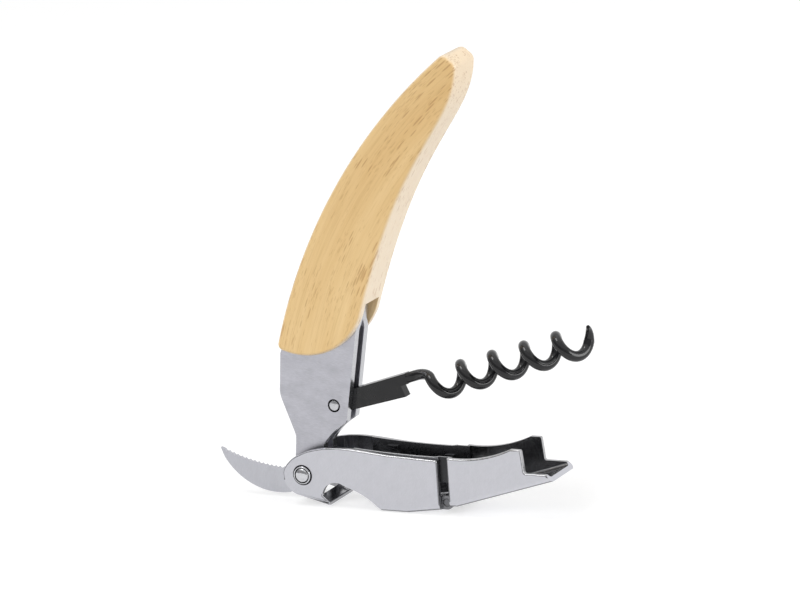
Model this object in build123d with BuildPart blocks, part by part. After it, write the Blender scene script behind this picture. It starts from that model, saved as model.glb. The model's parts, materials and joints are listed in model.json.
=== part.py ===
from build123d import *
import os
from math import asin, cos, hypot, pi, radians, sin

os.makedirs("parts", exist_ok=True)

# Double-lever corkscrew with a wooden handle, standing half open on its first lever.
# Millimetres, +Z up. The origin is the middle of the flat foot under the first lever.
# Side outlines are measured from the lever pivot: x to the worm side, z up.

# Stock thicknesses and widths across the tool
SHEET = 1.2
PLATE = 2.2
BLADE = 1.0
SPRING_STRIP = 0.6
BAY = 2.8
WOOD_CHEEK = 2.1
CHANNEL = 11.0

# Clearances
RUN_FIT = 0.04
SIDE_PLAY = 0.1
KNUCKLE_GAP = 0.2
SWING_GAP = 0.35
TANG_GAP = 0.4

# Longer than any piece, for cuts that go right through
REACH_OVER = 200.0

# Lever pivot above the floor
PIVOT_HEIGHT = 8.0

# Wooden handle, side outline
HEEL_BACK_X = -5.2
HEEL_BACK_Z = 32.3
BACK_BOW = 7.35
TIP_X = 46.8
TIP_Z = 109.3
TIP_RUN = 3.2
TIP_DROP = 2.7
NOSE_X = 48.9
NOSE_Z = 100.6
BELLY_X = 42.3
BELLY_Z = 89.0
GRIP_X = 34.3
GRIP_Z = 76.8
WAIST_X = 25.0
WAIST_Z = 58.0
HEEL_FRONT_X = 18.9
HEEL_FRONT_Z = 41.6
HEEL_LOW_X = 2.4
HEEL_LOW_Z = 30.7
TIP_ROUND = 2.0
HEEL_ROUND = 1.6
HANDLE_EDGE = 0.9
HANDLE_LEAN = 20.0
SLOT_DEPTH = 48.5

# Frame plates
PLATE_EYE = 5.0
PLATE_EYE_TURN = 40.0
NECK_BACK_X = -2.6
NECK_BACK_Z = 9.3
NECK_ROUND = 4.0
HIP_X = -6.35
HIP_Z = 19.9
HIP_ROUND = 6.0
SHOULDER_X = -5.3
SHOULDER_Z = 30.5
TANG_BACK = -14.7
TANG_FRONT = 1.4
CHIN_X = 11.9
CHIN_Z = 13.6
NECK_FRONT_X = 5.0
NECK_FRONT_Z = 7.4
THROAT_SAG = 0.5
CHIN_ROUND = 0.9
TANG_FLAT = 5.1
JOGGLE_RISE = 2.5

# Tang rivets
TANG_RIVET = 3.0
TANG_RIVET_HEAD = 4.2
TANG_RIVET_SPACING = 8.4
TANG_CENTRE = -6.4
TANG_RIVET_BELOW_TOP = 2.5
TANG_RIVET_HEAD_HEIGHT = 0.9

# Worm and its pin
WORM_PIN = 3.3
WORM_PIN_X = 8.7
WORM_PIN_Z = 17.7
WORM_RISE = 18.0
WORM_AXIS_DROP = 2.55
WORM_OUTER = 8.9
WIRE = 2.7
PITCH = 9.32
TURNS = 4.96
TAPER_TURNS = 0.25
POINT = 0.9
HELIX_START = 26.85
BEND_START = 23.4
BEND_TURN = 0.12
SHANK_SIDE_GAP = 0.1
SHANK_ABOVE_PIN = 2.4
SHANK_BELOW_PIN = 2.5
SHANK_TOE = 3.25
SHANK_END = 19.1
SHANK_NOTCH = 0.3
NECK_FLAT = 1.8

# Foil knife
KNIFE_EYE = 4.2
KNIFE_TIP_X = -26.2
KNIFE_TIP_Z = 3.8
KNIFE_NOSE_X = -25.2
KNIFE_NOSE_Z = 1.3
KNIFE_EDGE_HEEL_X = -8.8
KNIFE_EDGE_HEEL_Z = -0.45
KNIFE_EDGE_SAG = 0.85
KNIFE_SPINE_HEEL_X = -7.0
KNIFE_SPINE_HEEL_Z = -6.7
KNIFE_SPINE_BOW = 3.1
KNIFE_WASHER = 7.0

# Lever rivet and washers
RIVET = 3.2
RIVET_HEAD = 4.95
RIVET_HEAD_HEIGHT = 0.85
RIVET_RIM = 0.3
LEVER_WASHER = 8.0

# First lever, side outline
LEVER_EYE = 5.5
LEVER_EYE_LEAN = 10.0
CREST_X = 13.3
CREST_Z = 8.06
CREST_END_X = 27.0
CREST_END_Z = 6.5
LEVER_END_X = 37.8
LEVER_END_Z = 6.1
FOOT_START = 21.6
FOOT_END = 28.6
SOLE_RISE = 1.3
INSTEP_X = 12.5
INSTEP_Z = -2.5
INSTEP_SAG = 0.7
NOTCH_X = 9.2
NOTCH_Z = -5.47
NOTCH_RADIUS = 4.05
HOOK_REACH = 7.1
HOOK_LIP = 0.7
HOOK_SLOPE = 16.0
NOTCH_OPENING = 25.0
HOOK_WEB_START = 2.6
FOLD_ROUND = 1.2
SHEET_CORNER = 0.5

# Second lever, side outline
SECOND_START_X = 40.6
SECOND_START_Z = 6.9
SECOND_MID_X = 49.9
SECOND_MID_Z = 7.5
TOOTH_X = 58.2
TOOTH_Z = 10.3
TOOTH_TOP = 2.8
STEP_X = 61.6
STEP_Z = 4.4
LIP_X = 67.5
LIP_END_X = 69.1
LIP_END_Z = 2.7
SECOND_HEEL_X = 42.3
SECOND_HEEL_Z = -5.6

# Barrel hinge between the levers
HINGE_X = 39.2
BARREL = 3.6
HINGE_PIN = 2.0
KNUCKLE = 3.6
HINGE_STRAP = 4.0

# Spring inside the first lever
SPRING_START = 14.3
SPRING_TOP_DROP = 0.6
SPRING_REACH = 3.6
SPRING_TONGUE = 5.2
TONGUE_INSET = 0.25
TONGUE_RISE = 0.8
TONGUE_RUN = 1.2
SPRING_BASE_START = 22.8
SPRING_BASE_INSET = 0.4
SPRING_RIVET = 2.4
SPRING_RIVET_HEAD = 3.8
SPRING_RIVET_HEAD_HEIGHT = 0.5

# Sizes that follow from those above
FRAME_WIDTH = BAY + 2 * PLATE
HANDLE_WIDTH = FRAME_WIDTH + 2 * WOOD_CHEEK
LEVER_WIDTH = CHANNEL + 2 * SHEET
PIVOT_X = -(FOOT_START + FOOT_END) / 2
FLOOR = -PIVOT_HEIGHT
SOLE_END_Z = FLOOR + SOLE_RISE
HINGE_Z = SOLE_END_Z + BARREL / 2
LEAN = radians(HANDLE_LEAN)
RISE = radians(WORM_RISE)
COIL_RADIUS = (WORM_OUTER - WIRE) / 2
EYE_TURN = radians(PLATE_EYE_TURN)
EYE_LEAN = radians(LEVER_EYE_LEAN)
NOTCH_TURN = radians(NOTCH_OPENING)


def side_plane(y=0.0):
    """Upright plane through the lever pivot at the given y; extrusions go towards -Y."""
    return Plane(origin=(PIVOT_X, y, PIVOT_HEIGHT), x_dir=(1, 0, 0), z_dir=(0, -1, 0))


def bowed(start, end, sag):
    """Middle point of an arc that rises by sag to the left of the line from start to end."""
    run_x = end[0] - start[0]
    run_z = end[1] - start[1]
    chord = hypot(run_x, run_z)
    return ((start[0] + end[0]) / 2 - sag * run_z / chord, (start[1] + end[1]) / 2 + sag * run_x / chord)


def along_handle(distance, across):
    """Point in the side outline, given along and across the leaning handle."""
    return (distance * sin(LEAN) + across * cos(LEAN), distance * cos(LEAN) - across * sin(LEAN))


def handle_plane():
    """Plane across the handle through the lever pivot: local x along Y, local y up the handle."""
    return Plane(origin=(PIVOT_X, 0, PIVOT_HEIGHT), x_dir=(0, 1, 0), z_dir=(cos(LEAN), 0, -sin(LEAN)))


def pivot_point(x, y, z):
    """Point in the object's frame from a place measured at the lever pivot."""
    return (PIVOT_X + x, y, PIVOT_HEIGHT + z)


# Wooden handle: curved grip, slotted from below for the frame
heel_back = (HEEL_BACK_X, HEEL_BACK_Z)
tip = (TIP_X, TIP_Z)
tip_front = (TIP_X + TIP_RUN, TIP_Z - TIP_DROP)
heel_front = (HEEL_FRONT_X, HEEL_FRONT_Z)
with BuildPart() as wooden_handle:
    with BuildSketch(side_plane()) as grip_outline:
        with BuildLine():
            ThreePointArc(heel_back, bowed(heel_back, tip, BACK_BOW), tip)
            Line(tip, tip_front)
            front_points = ((NOSE_X, NOSE_Z), (BELLY_X, BELLY_Z), (GRIP_X, GRIP_Z), (WAIST_X, WAIST_Z))
            Spline(tip_front, *front_points, heel_front)
            ThreePointArc(heel_front, (HEEL_LOW_X, HEEL_LOW_Z), heel_back)
        make_face()
        fillet(grip_outline.vertices().sort_by(Axis.Y)[-2:], TIP_ROUND)
        fillet(grip_outline.vertices().sort_by(Axis.Y)[:2], HEEL_ROUND)
    extrude(amount=HANDLE_WIDTH / 2, both=True)
    fillet(wooden_handle.faces().filter_by(Axis.Y).edges(), HANDLE_EDGE)
    with BuildSketch(handle_plane()):
        with Locations((0, SLOT_DEPTH)):
            Rectangle(FRAME_WIDTH, REACH_OVER, align=(Align.CENTER, Align.MAX))
    extrude(amount=REACH_OVER, both=True, mode=Mode.SUBTRACT)
wooden_handle.part.label = "wooden_handle"
export_step(wooden_handle.part, "parts/wooden_handle.step")


# Frame plates: flat beside the bay, joggled together into a tang inside the wood
TANG_TOP = SLOT_DEPTH - TANG_GAP
tang_middle = TANG_TOP - TANG_RIVET_BELOW_TOP
tang_rivets = [along_handle(tang_middle, TANG_CENTRE + side * TANG_RIVET_SPACING / 2) for side in (-1, 1)]
plate_pins = ((0, 0, RIVET), (WORM_PIN_X, WORM_PIN_Z, WORM_PIN))


def frame_plate(side):
    """One joggled plate; side is -1 for the near plate and 1 for the far one."""
    with BuildPart() as plate:
        with BuildSketch(side_plane()) as outline:
            with BuildLine():
                neck_front = (NECK_FRONT_X, NECK_FRONT_Z)
                chin = (CHIN_X, CHIN_Z)
                neck_back = (NECK_BACK_X, NECK_BACK_Z)
                hip = (HIP_X, HIP_Z)
                shoulder = (SHOULDER_X, SHOULDER_Z)
                tang_back = along_handle(TANG_TOP, TANG_BACK)
                tang_front = along_handle(TANG_TOP, TANG_FRONT)
                eye_back = (-PLATE_EYE * sin(EYE_TURN), PLATE_EYE * cos(EYE_TURN))
                ThreePointArc((PLATE_EYE, 0), (0, -PLATE_EYE), eye_back)
                Polyline(eye_back, neck_back, hip, shoulder, tang_back, tang_front, chin)
                ThreePointArc(chin, bowed(neck_front, chin, THROAT_SAG), neck_front)
                Line(neck_front, (PLATE_EYE, 0))
            make_face()
            for corner, radius in ((chin, CHIN_ROUND), (hip, HIP_ROUND), (neck_back, NECK_ROUND)):
                fillet(outline.vertices().sort_by_distance(corner)[0], radius)
        extrude(amount=FRAME_WIDTH, both=True)
        with BuildSketch(handle_plane()):
            with BuildLine():
                outer = side * FRAME_WIDTH / 2
                inner = side * BAY / 2
                joggle_end = TANG_TOP - TANG_FLAT
                joggle_start = joggle_end - JOGGLE_RISE
                Polyline(
                    (inner, -REACH_OVER),
                    (inner, joggle_start),
                    (0, joggle_end),
                    (0, TANG_TOP),
                    (side * PLATE, TANG_TOP),
                    (side * PLATE, joggle_end),
                    (outer, joggle_start),
                    (outer, -REACH_OVER),
                    close=True,
                )
            make_face()
        extrude(amount=REACH_OVER, both=True, mode=Mode.INTERSECT)
        with BuildSketch(side_plane()):
            for x, z, size in plate_pins:
                with Locations((x, z)):
                    Circle(size / 2 + RUN_FIT)
            with Locations(*tang_rivets):
                Circle(TANG_RIVET / 2 + RUN_FIT)
        extrude(amount=FRAME_WIDTH, both=True, mode=Mode.SUBTRACT)
    return plate.part


for name, side in (("frame_plate_near", -1), ("frame_plate_far", 1)):
    plate = frame_plate(side)
    plate.label = name
    export_step(plate, f"parts/{name}.step")


# Tang rivets: clamp the two plates inside the wood
for name, place in (("tang_rivet_back", tang_rivets[0]), ("tang_rivet_front", tang_rivets[1])):
    with BuildPart() as tang_rivet:
        with BuildSketch(side_plane()):
            with Locations(place):
                Circle(TANG_RIVET / 2)
        extrude(amount=PLATE + TANG_RIVET_HEAD_HEIGHT, both=True)
        for face in (-PLATE, PLATE + TANG_RIVET_HEAD_HEIGHT):
            with BuildSketch(side_plane(face)):
                with Locations(place):
                    Circle(TANG_RIVET_HEAD / 2)
            extrude(amount=TANG_RIVET_HEAD_HEIGHT)
    tang_rivet.part.label = name
    export_step(tang_rivet.part, f"parts/{name}.step")


# Worm pin: flush across both plates
with BuildPart() as worm_pin:
    with BuildSketch(side_plane()):
        with Locations((WORM_PIN_X, WORM_PIN_Z)):
            Circle(WORM_PIN / 2)
    extrude(amount=FRAME_WIDTH / 2, both=True)
worm_pin.part.label = "worm_pin"
export_step(worm_pin.part, "parts/worm_pin.step")


# Lever rivet: one pin through levers, washers, plates and knife, with a stepped domed head at each end
with BuildPart() as lever_rivet:
    with BuildSketch(Plane(origin=pivot_point(0, 0, 0), x_dir=(1, 0, 0), z_dir=(0, 0, 1))):
        with BuildLine():
            seat = LEVER_WIDTH / 2 + SIDE_PLAY
            crown = (0, seat + RIVET_HEAD_HEIGHT)
            rim = (RIVET_HEAD / 2, seat + RIVET_RIM)
            dome_rise = RIVET_HEAD_HEIGHT - RIVET_RIM
            dome_radius = (rim[0] ** 2 + dome_rise**2) / (2 * dome_rise)
            half_angle = asin(rim[0] / dome_radius) / 2
            dome_side = (dome_radius * sin(half_angle), crown[1] - dome_radius * (1 - cos(half_angle)))
            Polyline(crown, (0, 0), (RIVET / 2, 0), (RIVET / 2, seat), (RIVET_HEAD / 2, seat), rim)
            ThreePointArc(rim, dome_side, crown)
        make_face()
    revolve(axis=Axis(pivot_point(0, 0, 0), (0, 1, 0)))
    mirror(about=Plane.XZ)
lever_rivet.part.label = "lever_rivet"
export_step(lever_rivet.part, "parts/lever_rivet.step")


def washer(diameter, start, thickness):
    """Flat washer on the lever rivet, from y = start towards -Y."""
    with BuildPart() as ring:
        with BuildSketch(side_plane(start)):
            Circle(diameter / 2)
            Circle(RIVET / 2 + RUN_FIT, mode=Mode.SUBTRACT)
        extrude(amount=thickness)
    return ring.part


# Washers: fill the channel beside the frame, and centre the thin knife in the bay
lever_washer_thickness = (CHANNEL - FRAME_WIDTH) / 2 - SIDE_PLAY
knife_washer_thickness = (BAY - BLADE) / 2 - SIDE_PLAY
washers = (
    ("lever_washer_near", LEVER_WASHER, -FRAME_WIDTH / 2, lever_washer_thickness),
    ("lever_washer_far", LEVER_WASHER, FRAME_WIDTH / 2 + lever_washer_thickness, lever_washer_thickness),
    ("knife_washer_near", KNIFE_WASHER, -BAY / 2 + knife_washer_thickness, knife_washer_thickness),
    ("knife_washer_far", KNIFE_WASHER, BAY / 2, knife_washer_thickness),
)
for name, diameter, start, thickness in washers:
    ring = washer(diameter, start, thickness)
    ring.label = name
    export_step(ring, f"parts/{name}.step")


# Foil knife: short curved blade on the lever rivet, its edge on the hollow side
with BuildPart() as foil_knife:
    with BuildSketch(side_plane()):
        with BuildLine():
            knife_tip = (KNIFE_TIP_X, KNIFE_TIP_Z)
            nose = (KNIFE_NOSE_X, KNIFE_NOSE_Z)
            edge_heel = (KNIFE_EDGE_HEEL_X, KNIFE_EDGE_HEEL_Z)
            spine_heel = (KNIFE_SPINE_HEEL_X, KNIFE_SPINE_HEEL_Z)
            eye_top = (-KNIFE_EYE * sin(EYE_TURN), KNIFE_EYE * cos(EYE_TURN))
            eye_low = (-KNIFE_EYE * sin(EYE_TURN), -KNIFE_EYE * cos(EYE_TURN))
            ThreePointArc(knife_tip, bowed(edge_heel, knife_tip, KNIFE_EDGE_SAG), edge_heel)
            Line(edge_heel, eye_top)
            ThreePointArc(eye_top, (KNIFE_EYE, 0), eye_low)
            Line(eye_low, spine_heel)
            ThreePointArc(spine_heel, bowed(nose, spine_heel, -KNIFE_SPINE_BOW), nose)
            Line(nose, knife_tip)
        make_face()
        Circle(RIVET / 2 + RUN_FIT, mode=Mode.SUBTRACT)
    extrude(amount=BLADE / 2, both=True)
foil_knife.part.label = "foil_knife"
export_step(foil_knife.part, "parts/foil_knife.step")


# Worm: flat shank on the pin, stepped down to round wire and wound into a right-hand helix
worm_up = (-sin(RISE), 0, cos(RISE))
worm_along = (cos(RISE), 0, sin(RISE))
worm_side = Plane(origin=pivot_point(WORM_PIN_X, 0, WORM_PIN_Z), x_dir=worm_along, z_dir=(0, -1, 0))
neck_height = SHANK_ABOVE_PIN - WIRE / 2


def coil_plane(turn):
    """Plane across the worm axis where the given turn of the helix starts, x to that point of the wire."""
    start = worm_side.from_local_coords(Vector(HELIX_START + turn * PITCH, -WORM_AXIS_DROP, 0))
    outward = Vector(worm_up).rotate(Axis((0, 0, 0), worm_along), 360 * turn)
    return Plane(origin=start, x_dir=outward, z_dir=worm_along)


def wire_section(path, place, radius):
    """Round section of the wire, square to its path."""
    with BuildSketch(Plane(origin=path @ place, z_dir=path % place)) as section:
        Circle(radius)
    return section.sketch


full_turns = TURNS - TAPER_TURNS
coil = coil_plane(BEND_TURN).location * Helix(PITCH, (full_turns - BEND_TURN) * PITCH, COIL_RADIUS)
point = coil_plane(full_turns).location * Helix(PITCH, TAPER_TURNS * PITCH, COIL_RADIUS)
bend_start = worm_side.from_local_coords(Vector(BEND_START, neck_height, 0))
bend = Spline(bend_start, coil @ 0, tangents=(worm_along, coil % 0))
bend_wire = wire_section(bend, 0, WIRE / 2)
coil_wire = wire_section(coil, 0, WIRE / 2)
point_wire = [wire_section(point, 0, WIRE / 2), wire_section(point, 1, POINT / 2)]
with BuildPart() as worm:
    with BuildSketch(worm_side):
        with BuildLine():
            neck_low = neck_height - WIRE / 2
            neck_end = SHANK_END + NECK_FLAT
            Polyline((0, -SHANK_BELOW_PIN), (SHANK_END, -SHANK_TOE), (SHANK_END - SHANK_NOTCH, neck_low))
            Polyline((SHANK_END - SHANK_NOTCH, neck_low), (neck_end, neck_low), (neck_end, SHANK_ABOVE_PIN))
            Line((neck_end, SHANK_ABOVE_PIN), (0, SHANK_ABOVE_PIN))
            half_shank = (SHANK_ABOVE_PIN + SHANK_BELOW_PIN) / 2
            shank_back = (-half_shank, SHANK_ABOVE_PIN - half_shank)
            ThreePointArc((0, SHANK_ABOVE_PIN), shank_back, (0, -SHANK_BELOW_PIN))
        make_face()
    extrude(amount=BAY / 2 - SHANK_SIDE_GAP, both=True)
    with BuildSketch(Plane(worm_side.from_local_coords(Vector(SHANK_END, neck_height, 0)), z_dir=worm_along)):
        Circle(WIRE / 2)
    extrude(amount=BEND_START - SHANK_END)
    sweep(sections=bend_wire, path=bend)
    sweep(sections=coil_wire, path=coil, is_frenet=True)
    sweep(sections=point_wire, path=point, multisection=True, is_frenet=True)
    with BuildSketch(worm_side):
        Circle(WORM_PIN / 2 + RUN_FIT)
    extrude(amount=BAY, both=True, mode=Mode.SUBTRACT)
worm.part.label = "worm"
export_step(worm.part, "parts/worm.step")
steps_per_turn = 40
coil_steps = [place / steps_per_turn for place in range(int(full_turns * steps_per_turn))]
coil_points = [coil_plane(turn).origin + coil_plane(turn).x_dir * COIL_RADIUS for turn in coil_steps]
apart = steps_per_turn // 2
reach = 2 * steps_per_turn
gaps = [
    (one - other).length - WIRE
    for index, one in enumerate(coil_points)
    for other in coil_points[index + apart : index + reach]
]
print("least gap between the worm's turns:", round(min(gaps), 2))
print("worm volume:", round(worm.part.volume, 1))


def hinge_disc(y, radius):
    """Disc round the axis of the lever hinge, at the given y."""
    with BuildSketch(side_plane(y)) as disc:
        with Locations((HINGE_X, HINGE_Z)):
            Circle(radius)
    return disc.sketch


def fold_edges(lever, start, end):
    """Long outer edges under a lever, between two places along it, where its sheet is folded up."""
    side_edges = [edge for edge in lever.edges() if abs(abs(edge.center().Y) - LEVER_WIDTH / 2) < SIDE_PLAY]
    under = [edge for edge in side_edges if edge.center().Z < PIVOT_HEIGHT and edge.length > SHEET]
    return [edge for edge in under if PIVOT_X + start < edge.center().X < PIVOT_X + end - SIDE_PLAY]


swing = BARREL / 2 + SWING_GAP


# First lever: folded channel with a cap hook under the pivot and a flat foot
eye_top = (-LEVER_EYE * sin(EYE_LEAN), LEVER_EYE * cos(EYE_LEAN))
hook_slope = radians(HOOK_SLOPE)
eye_low = (-LEVER_EYE * sin(hook_slope), -LEVER_EYE * cos(hook_slope))
foot_start = (FOOT_START, FLOOR)
lever_end = (LEVER_END_X, LEVER_END_Z)
sole_end = (LEVER_END_X, SOLE_END_Z)
instep = (INSTEP_X, INSTEP_Z)
hook_base = (HOOK_REACH - HOOK_LIP, FLOOR)
notch_right = (NOTCH_X + NOTCH_RADIUS * sin(NOTCH_TURN), NOTCH_Z + NOTCH_RADIUS * cos(NOTCH_TURN))
notch_left = (NOTCH_X - NOTCH_RADIUS, NOTCH_Z)
with BuildPart() as first_lever:
    with BuildSketch(side_plane()) as lever_outline:
        with BuildLine():
            ThreePointArc(eye_top, (CREST_X, CREST_Z), (CREST_END_X, CREST_END_Z))
            Polyline((CREST_END_X, CREST_END_Z), lever_end, sole_end, (FOOT_END, FLOOR), foot_start)
            ThreePointArc(foot_start, bowed(instep, foot_start, INSTEP_SAG), instep)
            Line(instep, notch_right)
            ThreePointArc(notch_right, (NOTCH_X - NOTCH_RADIUS * sin(NOTCH_TURN), notch_right[1]), notch_left)
            Polyline(notch_left, (HOOK_REACH, FLOOR + SHEET), (HOOK_REACH, FLOOR), hook_base, eye_low)
            ThreePointArc(eye_low, (-LEVER_EYE, 0), eye_top)
        make_face()
        fillet(lever_outline.vertices().sort_by_distance(lever_end)[0], SHEET_CORNER)
    extrude(amount=LEVER_WIDTH / 2, both=True)
    fillet(fold_edges(first_lever, FOOT_START, LEVER_END_X), FOLD_ROUND)
    with BuildSketch(side_plane()):
        with Locations((0, SHEET)):
            add(lever_outline.sketch_local)
        with Locations((HOOK_WEB_START, 0)):
            Rectangle(REACH_OVER, REACH_OVER, align=(Align.MAX, Align.CENTER))
        with Locations((INSTEP_X, notch_left[1])):
            Rectangle(INSTEP_X - HOOK_WEB_START, REACH_OVER, align=(Align.MAX, Align.MIN))
    extrude(amount=CHANNEL / 2, both=True, mode=Mode.SUBTRACT)
    for side in (-1, 1):
        edges = sorted((side * (KNUCKLE / 2 + KNUCKLE_GAP), side * (CHANNEL / 2 - KNUCKLE_GAP)))
        extrude(hinge_disc(edges[1], BARREL / 2), amount=edges[1] - edges[0])
        with BuildSketch(side_plane(edges[1])):
            with Locations((HINGE_X, SOLE_END_Z)):
                Rectangle(HINGE_STRAP, SHEET, align=(Align.MAX, Align.MIN))
        extrude(amount=edges[1] - edges[0])
    extrude(hinge_disc(0, swing), amount=KNUCKLE / 2 + KNUCKLE_GAP, both=True, mode=Mode.SUBTRACT)
    extrude(hinge_disc(0, HINGE_PIN / 2 + RUN_FIT), amount=CHANNEL, both=True, mode=Mode.SUBTRACT)
    with BuildSketch(side_plane()):
        Circle(RIVET / 2 + RUN_FIT)
    extrude(amount=LEVER_WIDTH, both=True, mode=Mode.SUBTRACT)
    with BuildSketch(Plane.XY):
        with Locations((0, 0)):
            Circle(SPRING_RIVET / 2 + RUN_FIT)
    extrude(amount=2 * SHEET, mode=Mode.SUBTRACT)
first_lever.part.label = "first_lever"
export_step(first_lever.part, "parts/first_lever.step")


# Second lever: tapering channel with a tooth and a low lip for the bottle's rim
second_start = (SECOND_START_X, SECOND_START_Z)
tooth = (TOOTH_X, TOOTH_Z)
tooth_end = (TOOTH_X + TOOTH_TOP, TOOTH_Z)
step = (STEP_X, STEP_Z)
lip = (LIP_X, STEP_Z)
lip_end = (LIP_END_X, LIP_END_Z)
second_heel = (SECOND_HEEL_X, SECOND_HEEL_Z)
with BuildPart() as second_lever:
    with BuildSketch(side_plane()) as second_outline:
        with BuildLine():
            ThreePointArc(second_start, (SECOND_MID_X, SECOND_MID_Z), tooth)
            Polyline(tooth, tooth_end, step, lip, lip_end)
            Polyline(lip_end, second_heel, (SECOND_START_X, SECOND_HEEL_Z), second_start)
        make_face()
        for corner in (tooth_end, step, lip):
            fillet(second_outline.vertices().sort_by_distance(corner)[0], SHEET_CORNER)
    extrude(amount=LEVER_WIDTH / 2, both=True)
    fillet(fold_edges(second_lever, SECOND_START_X, LIP_END_X), FOLD_ROUND)
    with BuildSketch(side_plane()):
        with Locations((0, SHEET)):
            add(second_outline.sketch_local)
    extrude(amount=CHANNEL / 2, both=True, mode=Mode.SUBTRACT)
    for side in (-1, 1):
        edges = sorted((side * KNUCKLE / 2, side * CHANNEL / 2))
        extrude(hinge_disc(edges[1], swing), amount=edges[1] - edges[0], mode=Mode.SUBTRACT)
    extrude(hinge_disc(0, BARREL / 2), amount=KNUCKLE / 2, both=True)
    with BuildSketch(side_plane()):
        with BuildLine():
            strap_end = HINGE_X + HINGE_STRAP
            Polyline(
                (HINGE_X, HINGE_Z + BARREL / 2),
                (strap_end, SECOND_HEEL_Z + SHEET),
                (strap_end, SECOND_HEEL_Z + SHEET / 2),
                (HINGE_X, HINGE_Z),
                close=True,
            )
        make_face()
    extrude(amount=KNUCKLE / 2, both=True)
    extrude(hinge_disc(0, HINGE_PIN / 2 + RUN_FIT), amount=CHANNEL, both=True, mode=Mode.SUBTRACT)
second_lever.part.label = "second_lever"
export_step(second_lever.part, "parts/second_lever.step")


# Hinge pin between the levers
with BuildPart() as hinge_pin:
    with BuildSketch(side_plane()):
        with Locations((HINGE_X, HINGE_Z)):
            Circle(HINGE_PIN / 2)
    extrude(amount=CHANNEL / 2 - KNUCKLE_GAP, both=True)
hinge_pin.part.label = "hinge_pin"
export_step(hinge_pin.part, "parts/hinge_pin.step")


# Channel spring: thin liner riveted in the first lever, whose tongues hold the second one in line
spring_floor = FLOOR + SHEET
with BuildPart() as channel_spring:
    with BuildSketch(side_plane()):
        with BuildLine():
            crest_z = CREST_Z - SPRING_TOP_DROP
            end_z = LEVER_END_Z - SPRING_TOP_DROP
            reach = LEVER_END_X + SPRING_REACH
            base_end = FOOT_END - SPRING_BASE_INSET
            Polyline(
                (SPRING_START, crest_z),
                (LEVER_END_X - TONGUE_RUN, end_z),
                (LEVER_END_X, LEVER_END_Z + TONGUE_RISE),
                (reach, LEVER_END_Z + TONGUE_RISE),
                (reach, end_z - SPRING_TONGUE),
                (base_end, end_z - SPRING_TONGUE),
                (base_end, spring_floor),
                (SPRING_BASE_START, spring_floor),
                (SPRING_START, end_z - SPRING_TONGUE),
                close=True,
            )
        make_face()
    extrude(amount=CHANNEL / 2, both=True)
    with BuildSketch(side_plane()):
        with Locations((0, spring_floor + SPRING_STRIP)):
            Rectangle(REACH_OVER, REACH_OVER, align=(Align.CENTER, Align.MIN))
        with Locations((SPRING_BASE_START, 0)):
            Rectangle(REACH_OVER, REACH_OVER, align=(Align.MAX, Align.CENTER))
    extrude(amount=CHANNEL / 2 - SPRING_STRIP, both=True, mode=Mode.SUBTRACT)
    for side in (-1, 1):
        with BuildSketch(side_plane(side * CHANNEL / 2)):
            with Locations((LEVER_END_X, 0)):
                Rectangle(REACH_OVER, REACH_OVER, align=(Align.MIN, Align.CENTER))
        extrude(amount=TONGUE_INSET, both=True, mode=Mode.SUBTRACT)
    with BuildSketch(Plane.XY):
        with Locations((0, 0)):
            Circle(SPRING_RIVET / 2 + RUN_FIT)
    extrude(amount=REACH_OVER, mode=Mode.SUBTRACT)
channel_spring.part.label = "channel_spring"
export_step(channel_spring.part, "parts/channel_spring.step")


# Spring rivet: flush under the foot, low head inside
with BuildPart() as spring_rivet:
    with BuildSketch(Plane.XY):
        with Locations((0, 0)):
            Circle(SPRING_RIVET / 2)
    extrude(amount=SHEET + SPRING_STRIP)
    with BuildSketch(Plane.XY.offset(SHEET + SPRING_STRIP)):
        with Locations((0, 0)):
            Circle(SPRING_RIVET_HEAD / 2)
    extrude(amount=SPRING_RIVET_HEAD_HEIGHT)
spring_rivet.part.label = "spring_rivet"
export_step(spring_rivet.part, "parts/spring_rivet.step")
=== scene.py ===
"""Double-lever corkscrew with a wooden handle: finishes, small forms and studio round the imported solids."""
import bpy
import bmesh
import json
from math import cos, pi, radians, sin
from mathutils import Matrix, Vector


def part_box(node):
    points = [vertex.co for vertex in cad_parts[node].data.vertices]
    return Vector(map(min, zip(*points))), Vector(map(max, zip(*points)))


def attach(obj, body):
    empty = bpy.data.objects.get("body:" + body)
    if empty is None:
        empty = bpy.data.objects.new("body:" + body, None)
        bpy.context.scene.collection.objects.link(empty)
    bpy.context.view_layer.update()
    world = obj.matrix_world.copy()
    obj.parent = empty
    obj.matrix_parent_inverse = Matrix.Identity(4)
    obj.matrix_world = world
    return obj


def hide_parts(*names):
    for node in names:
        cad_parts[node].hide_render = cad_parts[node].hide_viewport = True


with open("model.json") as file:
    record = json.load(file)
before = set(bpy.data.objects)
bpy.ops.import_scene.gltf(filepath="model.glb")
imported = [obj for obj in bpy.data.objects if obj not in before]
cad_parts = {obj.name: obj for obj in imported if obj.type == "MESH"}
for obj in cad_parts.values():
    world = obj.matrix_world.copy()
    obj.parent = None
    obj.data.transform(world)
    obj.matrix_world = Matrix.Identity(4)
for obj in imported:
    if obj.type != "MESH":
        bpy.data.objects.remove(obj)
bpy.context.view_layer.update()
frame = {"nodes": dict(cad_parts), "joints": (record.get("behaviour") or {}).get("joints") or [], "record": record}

MM = 0.001


def joint_place(name):
    """Place of a joint, in millimetres."""
    return Vector(next(joint["pos_m"] for joint in frame["joints"] if joint["name"] == name)) / MM


def half_width(name):
    """Reach of a solid to either side of the middle, in millimetres."""
    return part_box(name)[1][1] / MM


# Places and half widths of the solids, in millimetres
PIVOT = joint_place("lever_pivot")
WORM_PIN = joint_place("worm_pivot")
HINGE = joint_place("lever_hinge")
LEVER_HALF = half_width("first_lever")
CHANNEL_HALF = half_width("channel_spring")
RIVET_HALF = half_width("lever_rivet")
PIN_HALF = half_width("worm_pin")

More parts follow.
